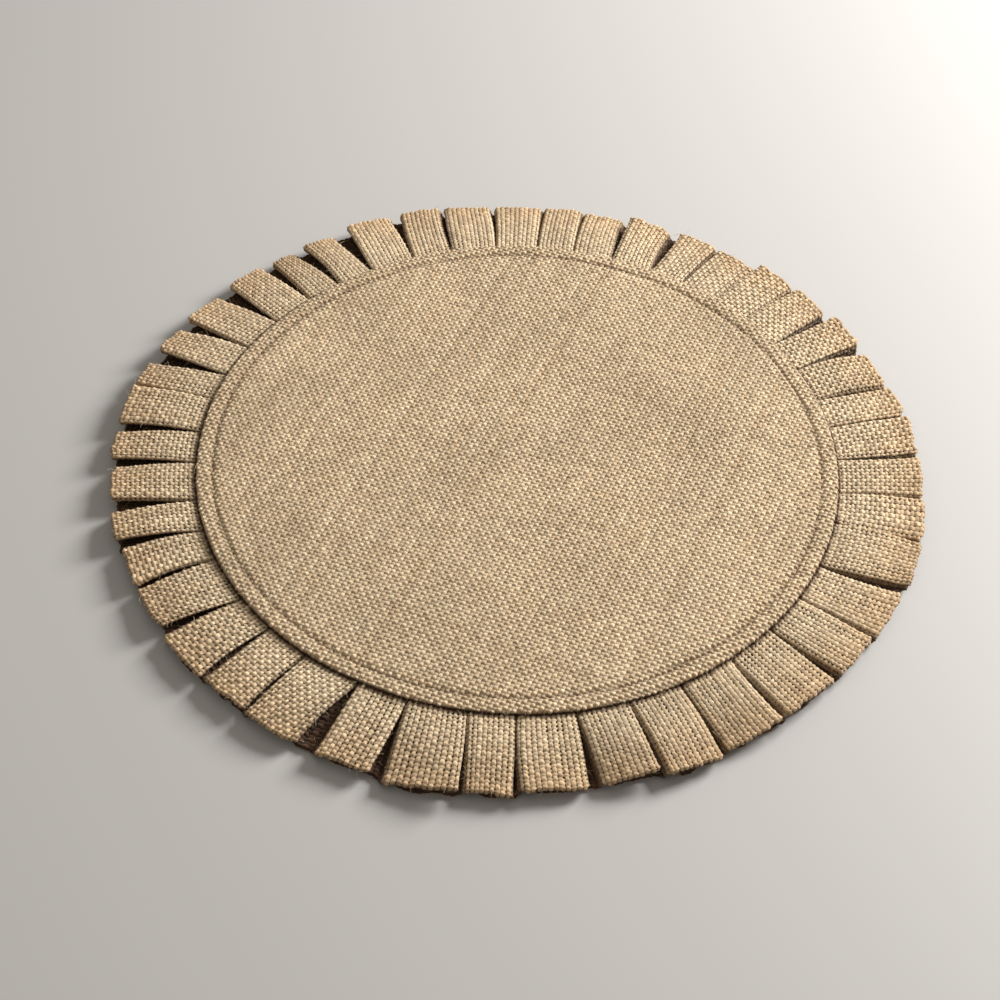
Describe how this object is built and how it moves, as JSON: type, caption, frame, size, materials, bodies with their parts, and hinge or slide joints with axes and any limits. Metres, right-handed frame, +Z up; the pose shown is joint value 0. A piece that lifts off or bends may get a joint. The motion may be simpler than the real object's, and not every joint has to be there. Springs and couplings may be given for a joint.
{
  "type": "ruffled jute mat tree skirt",
  "caption": "Round jute mat with turned-in edge, topstitched rim and a knife-pleated ruffle all round, to lie flat under a small tree or a place setting.",
  "frame": {"origin": "centre of the round mat, on the surface it lies on", "axes": "+Z up through the mat, square to the surface it lies on; X and Y across the mat, with no front"},
  "size_m": [0.3808, 0.3809, 0.0104],
  "materials": {
    "panel_jute": "natural jute plain weave, coarse and matt",
    "backing_jute": "natural jute plain weave, coarse and matt",
    "ruffle_jute": "natural jute plain weave folded double, golden brown",
    "sewing_thread": "spun sewing thread, matt"
  },
  "bodies": {
    "root": {"top_panel": "panel_jute", "backing_panel": "backing_jute", "ruffle_strip_1": "ruffle_jute", "ruffle_strip_2": "ruffle_jute", "ruffle_strip_3": "ruffle_jute", "edge_needle_thread": "sewing_thread", "edge_bobbin_thread": "sewing_thread", "pleat_basting_thread": "sewing_thread", "strip_join_thread_1": "sewing_thread", "strip_join_thread_2": "sewing_thread", "strip_join_thread_3": "sewing_thread"}
  },
  "joints": []
}
